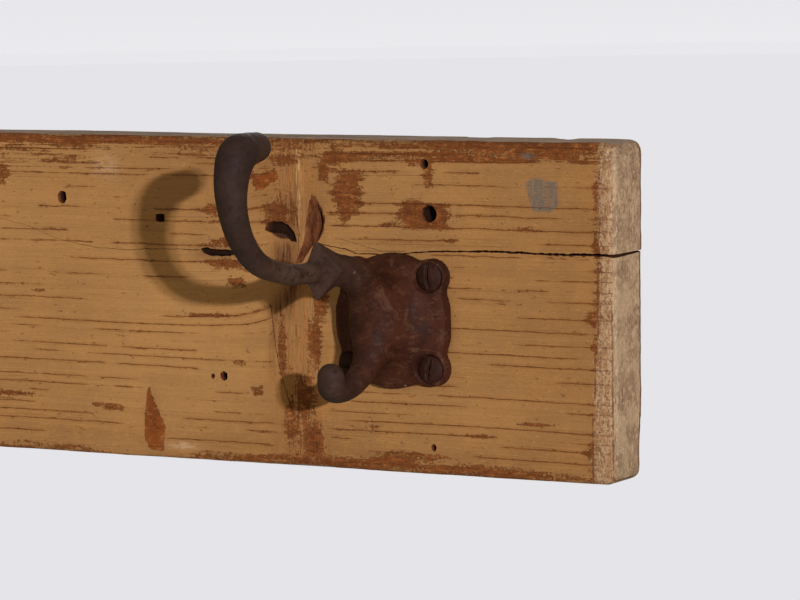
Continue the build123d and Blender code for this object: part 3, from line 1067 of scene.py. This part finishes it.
class PlankShader(Shader):
    """The plank's outside: the noises that its layers share, and the colour of each layer."""

    def __init__(self, name):
        super().__init__(name)
        self.x, self.y, self.z = (self.node("SeparateXYZ", {0: self.place}, axis) for axis in range(3))
        self.height = self.attribute("grain_height")
        self.streaks = self.attribute("upright_streaks")
        self.upright = self.noise((1.3, 0.3, 0.11), 6, 0.7)
        self.hairs = self.noise((2.6, 0.5, 0.16), 5, 0.7)
        self.edge_wear = self.noise((0.5, 0.4, 0.34), 7, 0.75)
        self.saw_marks = self.noise((0.9, 0.2, 0.05), 4)
        self.end_speckle = self.noise(1.7, 7, 0.8)
        self.fine = self.noise(1.6, 5, 0.7)
        self.stains = self.noise(0.09, 6, 0.65)
        self.flecks = self.along_grain(0.36, 1.15, 8, 0.76)
        self.dashes = self.along_grain(0.1, 1.0, 6, 0.75)
        self.soft_streaks = self.along_grain(0.01, 0.3, 5, 0.65)
        self.thin_streaks = self.along_grain(0.035, 2.6, 5, 0.65)
        self.line, self.near_line = self.counted_lines(0.16, 0.475)
        self.faint_line, self.near_faint = self.even_lines(2.3, 0.04, 0.55)

    def along_grain(self, x_scale, height_scale, detail, roughness=0.5):
        """Noise drawn out along the grain."""
        place = self.vector(self.x * x_scale, self.height * height_scale, self.y * 0.2)
        return self.noise(place, detail, roughness)

    def counted_lines(self, width, presence):
        """The plank's own grain lines: thin, broken, and each with its own gaps and breadth."""
        number = self.attribute("line_number")
        wobble = self.noise(self.vector(self.x * 0.12, number, 2.0), 4, 0.6)
        number = number + (wobble - 0.5) * 0.3
        nearest = self.math("ROUND", number)
        gap = self.math("ABSOLUTE", number - nearest) * self.attribute("line_space")
        own = nearest * 3.7
        present = self.noise(self.vector(self.x * 0.016, own, 0.0), 5, 0.6).step(presence, presence + 0.05)
        present = present * (1.0 - self.attribute("no_lines"))
        breadth = self.noise(self.vector(self.x * 0.3, own, 5.0), 5, 0.75).step(0.36, 0.72) * width
        line, near = 1.0 - gap.step(breadth, breadth + 0.14), 1.0 - gap.step(0.1, 1.1)
        return line * present, near * present

    def even_lines(self, spacing, width, presence):
        """Thin broken lines along the grain, each with its own height, gaps and breadth."""
        wavy = self.height + self.noise(self.vector(self.x * 0.03, self.height * 0.06, 0.0)) * 1.5
        cells = {"W": wavy / spacing, "Scale": 1.0, "Randomness": 0.72}
        gap = self.node("TexVoronoi", cells, "Distance", voronoi_dimensions="1D") * spacing
        own = self.node("TexVoronoi", cells, "W", voronoi_dimensions="1D") * 3.7
        present = self.noise(self.vector(self.x * 0.022, own, 0.0), 4, 0.6).step(presence, presence + 0.09)
        breadth = self.noise(self.vector(self.x * 0.35, own, 5.0), 4, 0.7).step(0.3, 0.75) * width
        line, near = 1.0 - gap.step(breadth, breadth + 0.16), 1.0 - gap.step(0.1, 1.3)
        return line * present, near * present

    def varnish(self):
        """Sound ochre varnish, streaked along the grain, and upright on the old band."""
        sound = self.mix(self.attribute("tone"), seen(146, 101, 58), seen(170, 123, 73))
        sound = sound.under(seen(174, 120, 60), self.stains.step(0.46, 0.6) * 0.2)
        sound = sound.shade(self.stains, 0.9, 1.1).shade(self.soft_streaks, 0.84, 1.16)
        sound = sound.shade(self.thin_streaks, 0.76, 1.24).shade(self.fine, 0.8, 1.2)
        return sound.coats(
            seen,
            ((190, 144, 96), self.along_grain(0.5, 1.6, 5, 0.7).step(0.58, 0.64) * 0.3),
            ((146, 92, 44), self.near_line * 0.3),
            ((188, 122, 58), self.upright.step(0.42, 0.7) * self.streaks),
            ((148, 90, 44), self.streaks * 0.3),
            ((208, 164, 104), self.attribute("cream") * self.hairs.step(0.46, 0.58)),
        )

    def undercoat(self):
        """Red-brown undercoat with chips, where the varnish has gone."""
        chips = self.noise((0.34, 0.5, 0.7), 7, 0.72)
        bare = self.mix(self.flecks.step(0.35, 0.7), seen(100, 52, 20), seen(138, 78, 34))
        bare = bare.coats(
            seen,
            ((134, 68, 22), self.attribute("orange") * 0.8),
            ((74, 38, 20), self.noise(1.3, 5, 0.6).step(0.58, 0.7) * 0.55),
            ((168, 108, 60), chips.step(0.56, 0.6) * 0.6),
            ((78, 40, 22), chips.step(0.43, 0.39) * 0.55),
        )
        bare = bare.shade(self.upright, 0.6, 1.4).shade(self.thin_streaks, 0.5, 1.5)
        return bare.shade(self.fine, 0.55, 1.45)

    def loss_level(self):
        """A level that rises past VARNISH_LIMIT where the varnish has gone."""
        crumbs = self.noise(0.8, 6, 0.7) - 0.5
        streaky = self.along_grain(0.05, 1.3, 6, 0.7) - 0.5
        level = self.flecks * 0.58 + self.fine * 0.2 + crumbs * 0.42 + self.attribute("lost_finish") * 0.44
        level = level + self.near_line * 0.12 + self.near_faint * 0.06 + streaky * self.attribute("streaky")
        return level + self.dashes.step(0.54, 0.72) * 0.13 + (self.upright - 0.45) * self.streaks

    def bare_strip(self):
        """The finish is worn off beside the plank's ends: pale wood with short upright flecks."""
        blotches = self.noise((0.5, 0.3, 0.3), 5, 0.7)
        flecks = self.noise((1.6, 0.6, 0.9), 5, 0.7)
        dots = self.noise(1.5, 4, 0.6)
        wood = self.mix(blotches.step(0.35, 0.65), seen(156, 114, 78), seen(180, 144, 108))
        return wood.coats(
            seen,
            ((204, 172, 136), self.hairs.step(0.53, 0.6) * 0.5),
            ((120, 76, 46), dots.step(0.55, 0.6) * 0.6),
            ((118, 74, 44), flecks.step(0.53, 0.58) * 0.7),
        )

    def end_grain(self):
        """Weathered end grain: tan and speckled, with a dark rim towards the wall."""
        cloudy = self.noise(0.13, 6, 0.6)
        dots = self.noise((1, 0.8, 0.5), 4, 0.6, scale=1.4)
        rough = self.noise(0.07, 3, 0.6).step(0.42, 0.56)
        wood = self.mix(cloudy.step(0.4, 0.6), seen(154, 122, 94), seen(184, 152, 118))
        wood = wood.coats(
            seen,
            ((208, 178, 144), dots.step(0.56, 0.6) * 0.6),
            ((112, 74, 50), dots.step(0.43, 0.39) * self.blend(rough, 0.2, 0.6)),
        )
        rim = self.attribute("back_edge") + self.fine * 0.5
        return wood.shade(self.end_speckle, 0.66, 1.3).under(seen(92, 58, 38), rim.step(0.86, 1.1))

    def sawn_side(self):
        """Grey sawn wood on the upper and lower sides."""
        dark_grey, grey = (seen(*values, LIGHT_ON_TOP) for values in ((96, 78, 64), (128, 106, 88)))
        sawn = self.mix(self.thin_streaks.step(0.35, 0.7), dark_grey, grey)
        return sawn.shade(self.along_grain(0.05, 1.2, 5, 0.7), 0.65, 1.25)

    def sawn_back(self):
        """Plain sawn wood on the back."""
        bands = self.along_grain(0.01, 0.6, 5).step(0.35, 0.65)
        wood = self.mix(bands, seen(150, 118, 82), seen(186, 152, 110))
        return wood.shade(self.saw_marks, 0.82, 1.12)

    def marks_over(self, colour):
        """The ink stain, pale scrapes, dirt with painted shade, dark flecks, knots and darkened edges, over
        a colour.
        """
        weave = (self.hairs + self.noise((0.5, 1.0, 2.6), 4, 0.6)).step(0.86, 1.08)
        ink = (self.attribute("ink") + self.stains * 0.8).step(0.7, 1.25)
        rim_line = self.attribute("finish_rim") + self.upright + self.edge_wear * 1.6
        colour = colour.coats(
            seen,
            ((94, 92, 86), ink * self.blend(weave, 0.28, 0.86)),
            ((192, 158, 124), self.attribute("pale") * self.flecks.step(0.4, 0.55)),
            # Dirt and painted shade, dark red-brown.
            ((76, 38, 18), self.attribute("dirt") * self.upright.step(0.25, 0.6) * 0.8),
            ((92, 50, 22), self.along_grain(0.34, 0.75, 6, 0.75).step(0.62, 0.645) * 0.7),
            ((110, 60, 28), rim_line.step(2.08, 2.24) * 0.85),
        )
        knot = (self.attribute("knot") + self.flecks * 0.35).step(0.62, 0.8)
        colour = colour.under(self.shade(seen(70, 34, 18), self.upright, 0.5, 1.4), knot)
        top_line = self.z.step(48.8, 50.0) * self.edge_wear.step(0.42, 0.56)
        return colour.under(seen(82, 46, 26), top_line * 0.6)


VARNISH_LIMIT = 0.6


def painted_wood():
    """Thin ochre varnish over red-brown undercoat, cracked along the grain and worn to bare wood."""
    shader = PlankShader("worn_varnished_pine")
    upright, fine, edge_wear, streaks = shader.upright, shader.fine, shader.edge_wear, shader.streaks
    level = shader.loss_level()
    gone = level.step(VARNISH_LIMIT - 0.012, VARNISH_LIMIT + 0.012)
    rim = level.step(0.565, 0.59) * level.step(0.65, 0.605)
    colour = shader.varnish().under(shader.undercoat(), gone).under(seen(92, 50, 22), rim * 0.3)

    strip_mask = (shader.attribute("bare_strip") + edge_wear * 0.9).step(0.93, 0.98)
    colour = colour.under(shader.bare_strip(), strip_mask)
    lines = shader.math("MAXIMUM", shader.line, shader.faint_line * 0.4) * shader.blend(strip_mask, 1.0, 0.6)
    line_colour = shader.mix(shader.dashes.step(0.4, 0.6), seen(88, 46, 21), seen(144, 80, 36))
    colour = colour.under(line_colour, lines * 0.8)
    colour = colour.under(seen(84, 46, 22), upright.step(0.4, 0.3) * streaks)
    colour = shader.marks_over(colour)

    sawn_mask = (shader.attribute("sawn_side") + fine * 0.3).step(0.55, 0.75)
    colour = colour.under(shader.sawn_side(), sawn_mask)
    end_mask = (shader.attribute("end_grain") + fine * 0.35 + upright * 0.25).step(0.7, 0.84)
    colour = colour.under(shader.end_grain(), end_mask)
    arris_line = (shader.attribute("worn_arris") + shader.hairs * 0.8 + edge_wear * 1.2).step(1.74, 1.9)
    colour = colour.under(seen(96, 58, 36), arris_line * 0.75)
    back = shader.attribute("back")
    colour = colour.under(shader.sawn_back(), back)

    worn = shader.math("MAXIMUM", gone, sawn_mask)
    roughness = shader.blend(worn, shader.blend(shader.soft_streaks, 0.45, 0.62), 0.82)
    relief = gone * -0.1 - lines * 0.16 + shader.thin_streaks * 0.08 + fine * 0.06
    relief = relief + upright * streaks * 0.7 + shader.end_speckle * end_mask * 0.35
    return shader.finish(colour, roughness, 0.2, relief + shader.saw_marks * (back * 0.3))


def cut_wood():
    """Old wood inside the holes, splits and gouges: red-brown and fibrous, with painted shade that turns it
    almost black far down.
    """
    shader = Shader("old_cut_pine")
    fibres = shader.noise((0.9, 1.0, 0.3), 6, 0.7)
    upright = shader.noise((1.5, 1.0, 0.12), 5, 0.65, scale=0.9)
    colour = shader.mix(fibres.step(0.35, 0.65), seen(86, 44, 24), seen(132, 78, 46))
    # Painted shade, near black where the cuts go far in.
    colour = colour.shade(upright, 0.45, 1.35).under(seen(34, 18, 12), shader.attribute("deep"))
    return shader.finish(colour, 0.85, 0.1, upright * 0.5)


def rusty_iron():
    """Brown rusted cast iron under old wax: red-brown and blackish patches, greyer on the prongs."""
    shader = Shader("rusted_cast_iron")
    out = shader.attribute("out")
    patches = shader.noise(0.11, 5, 0.6, distortion=0.4)
    mottle = shader.noise(0.45, 6, 0.7)
    grit = shader.noise(3.0, 4, 0.7)
    dust = shader.noise((0.16, 0.3, 0.5), 6, 0.7, distortion=1.2)
    smudge = shader.noise(0.2, 6, 0.75, distortion=0.8)
    prong = out.step(14.0, 40.0)
    brown = shader.mix(patches.step(0.35, 0.65), srgb(52, 25, 16), srgb(72, 36, 23))
    grey = shader.mix(patches.step(0.35, 0.65), srgb(54, 37, 31), srgb(68, 48, 40))
    colour = brown.under(grey, prong)
    colour = colour.coats(
        srgb,
        ((86, 46, 28), mottle.step(0.54, 0.74) * shader.blend(prong, 0.5, 0.2)),
        ((34, 20, 15), mottle.step(0.48, 0.32) * 0.5),
        ((112, 78, 54), dust.step(0.52, 0.7) * shader.blend(prong, 0.42, 0.16)),
        ((104, 74, 52), smudge.step(0.55, 0.68) * shader.blend(prong, 0.4, 0.1)),
    )
    colour = colour.shade(grit, 0.84, 1.16).shade(smudge, 0.86, 1.14)
    # Lighter along the upper prong's level run and darker at its tip.
    lighter_run = out.step(42.0, 54.0) * out.step(78.0, 64.0) * mottle.step(0.36, 0.6)
    colour = colour.coats(
        srgb,
        ((92, 70, 56), lighter_run * 0.55),
        ((42, 30, 28), out.step(76.0, 86.0) * 0.35),
    )
    # Pale, smoother iron on worn edges and rubbed spots, which also stands as painted highlights and glints.
    worn = shader.attribute("worn_edge").step(3.0, 6.0) * 0.5
    worn = shader.math("MAXIMUM", worn, shader.attribute("rubbed"))
    bright = (worn * (shader.noise(1.1, 4, 0.7) + 0.35)).step(0.36, 0.56) * grit.step(0.42, 0.56)
    colour = colour.under(srgb(160, 138, 122), bright * 0.6)
    roughness = shader.blend(bright, shader.blend(mottle.step(0.35, 0.7), 0.5, 0.78), 0.35)
    return shader.finish(colour, roughness, 0.1, mottle * 0.14 + grit * 0.03)


def worn_screw_steel():
    """Rust-brown screw heads, polished a little on the crown and at the slot's lips."""
    shader = Shader("browned_screw_steel")
    mottle = shader.noise(0.8, 6, 0.7)
    grit = shader.noise(3.4, 4, 0.7)
    colour = shader.mix(mottle.step(0.35, 0.65), srgb(42, 23, 17), srgb(60, 33, 24)).shade(grit, 0.8, 1.2)
    bright = shader.attribute("worn_edge").step(1.0, 3.0) * mottle.step(0.45, 0.62)
    colour = colour.under(srgb(112, 88, 74), bright * 0.16)
    return shader.finish(colour, shader.blend(mottle.step(0.35, 0.7), 0.5, 0.75), 0.1, mottle * 0.12)


STAGE_GLOW = 0.97


def pale_plaster():
    """The studio's floor and cove: pale, matt and faintly rough."""
    shader = Shader("pale_studio")
    shader.surface.inputs["Emission Color"].default_value = srgb(232, 231, 235)
    shader.surface.inputs["Emission Strength"].default_value = STAGE_GLOW
    return shader.finish(shader.shade(srgb(5, 5, 5), shader.noise(0.08, 5), 0.96, 1.04), 0.9, 0.5)


# ---------- the object
SHARP_ANGLE = 38.0           # between faces that meet in a crease, in degrees


def make_plank():
    points, quads = plank_grid()
    plank = mesh_object("worn_plank", round_edges(points), quads)
    place = vertex_points(plank)
    move_vertices(plank, place - vertex_normals(plank) * hollows(place)[:, None])
    plank.data.materials.append(painted_wood())
    inside = cut_wood()
    split_cutters = [split_cutter(*split) for split in SPLITS]
    for cutter in [hole_cutters(), *gouge_cutters(), *split_cutters]:
        cut(plank, cutter, inside)
    plank.data.shade_smooth()
    plank.data.set_sharp_from_angle(angle=math.radians(SHARP_ANGLE))
    plank_attributes(plank)
    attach(plank, "root")
    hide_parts("board")


HOOK_GRID = 0.45
SCREW_GRID = 0.24

make_plank()
iron, steel = rusty_iron(), worn_screw_steel()
casting, screw = hook_surface(HOOK_GRID), screw_surface(SCREW_GRID)
for number, centre in enumerate(HOOK_CENTRES, 1):
    make_hook(number, centre, casting, iron)
    for turn, corner in enumerate(CORNERS):
        make_screw(number, turn, corner, screw, steel)

# ---------- stage, light and camera
FLOOR_DROP = 330.0           # the floor, below the plank's centreline
STAGE_RADIUS = 14000.0
STAGE_HEIGHT = 9000.0
STAGE_SIDES = 96
COVE_RADIUS = 3000.0
COVE_STEPS = 12


def make_stage():
    """A round pale floor that curves up into a wall, far outside the object."""
    profile = [(STAGE_RADIUS - COVE_RADIUS, 0.0)]
    for step in range(1, COVE_STEPS + 1):
        turn = math.pi / 2 * step / COVE_STEPS
        radius = STAGE_RADIUS - COVE_RADIUS * (1 - math.sin(turn))
        profile.append((radius, COVE_RADIUS * (1 - math.cos(turn))))
    profile.append((STAGE_RADIUS, STAGE_HEIGHT))
    turns = [2 * math.pi * i / STAGE_SIDES for i in range(STAGE_SIDES)]
    points = [(radius * math.cos(turn), radius * math.sin(turn), height - FLOOR_DROP)
              for radius, height in profile for turn in turns]
    faces = tube_faces(len(profile), STAGE_SIDES) + [list(range(STAGE_SIDES))]
    floor = mesh_object("studio_floor", points, faces)
    floor.data.materials.append(pale_plaster())
    for kind in ("diffuse", "glossy", "shadow", "transmission"):
        setattr(floor, f"visible_{kind}", False)


def direction(azimuth, elevation):
    """A direction in degrees. Azimuth 0 is straight in front of the plank, and 90 is from its right."""
    a, e = math.radians(azimuth), math.radians(elevation)
    return Vector((math.sin(a) * math.cos(e), -math.cos(a) * math.cos(e), math.sin(e)))


# Each sun's name, azimuth, elevation, strength, width in degrees and colour.
SUNS = (
    ("key_light_right", 45.5, 9.0, 1.4, 0.9, (0.89, 0.92, 1.0)),
    ("key_light_left", 44.5, 8.7, 1.4, 0.9, (0.89, 0.92, 1.0)),
    ("back_fill", 205.0, 24.0, 0.5, 30.0, (1.0, 1.0, 1.0)),
)


def make_sun(name, azimuth, elevation, strength, width, colour):
    light = bpy.data.lights.new(name, "SUN")
    light.energy = strength
    light.angle = math.radians(width)
    light.color = colour
    lamp = bpy.data.objects.new(name, light)
    lamp.rotation_euler = direction(azimuth, elevation).to_track_quat("Z", "Y").to_euler()
    bpy.context.scene.collection.objects.link(lamp)


def make_world(strength, colour):
    world = bpy.data.worlds.new("soft_room_light")
    world.use_nodes = True
    background = world.node_tree.nodes["Background"]
    background.inputs["Color"].default_value = colour
    background.inputs["Strength"].default_value = strength
    bpy.context.scene.world = world


CAMERA_AZIMUTH = 31.5        # to the right of straight in front
CAMERA_ELEVATION = 5.25
CAMERA_ROLL = -0.97
CAMERA_DISTANCE = 1321.4
CAMERA_LENS = 195.75
AIM = (1.32, 0.0, 6.37)      # the point looked at, from the end hook's centre


def make_camera():
    camera = bpy.data.objects.new("camera", bpy.data.cameras.new("camera"))
    camera.data.lens = CAMERA_LENS
    camera.data.clip_start = 0.05
    camera.data.clip_end = 60.0
    back = direction(CAMERA_AZIMUTH, CAMERA_ELEVATION)
    right = direction(CAMERA_AZIMUTH + 90, 0)
    up = back.cross(right)
    roll = math.radians(CAMERA_ROLL)
    rolled_right = right * math.cos(roll) + up * math.sin(roll)
    rolled_up = up * math.cos(roll) - right * math.sin(roll)
    turn = Matrix((rolled_right, rolled_up, back)).transposed()
    target = Vector(END_HOOK) + Vector(AIM)
    camera.matrix_world = Matrix.Translation((target + back * CAMERA_DISTANCE) * MM) @ turn.to_4x4()
    bpy.context.scene.collection.objects.link(camera)
    bpy.context.scene.camera = camera


make_stage()
for sun in SUNS:
    make_sun(*sun)
make_world(0.28, (1.0, 0.92, 0.72, 1.0))
make_camera()
bpy.context.scene.view_settings.view_transform = "Standard"
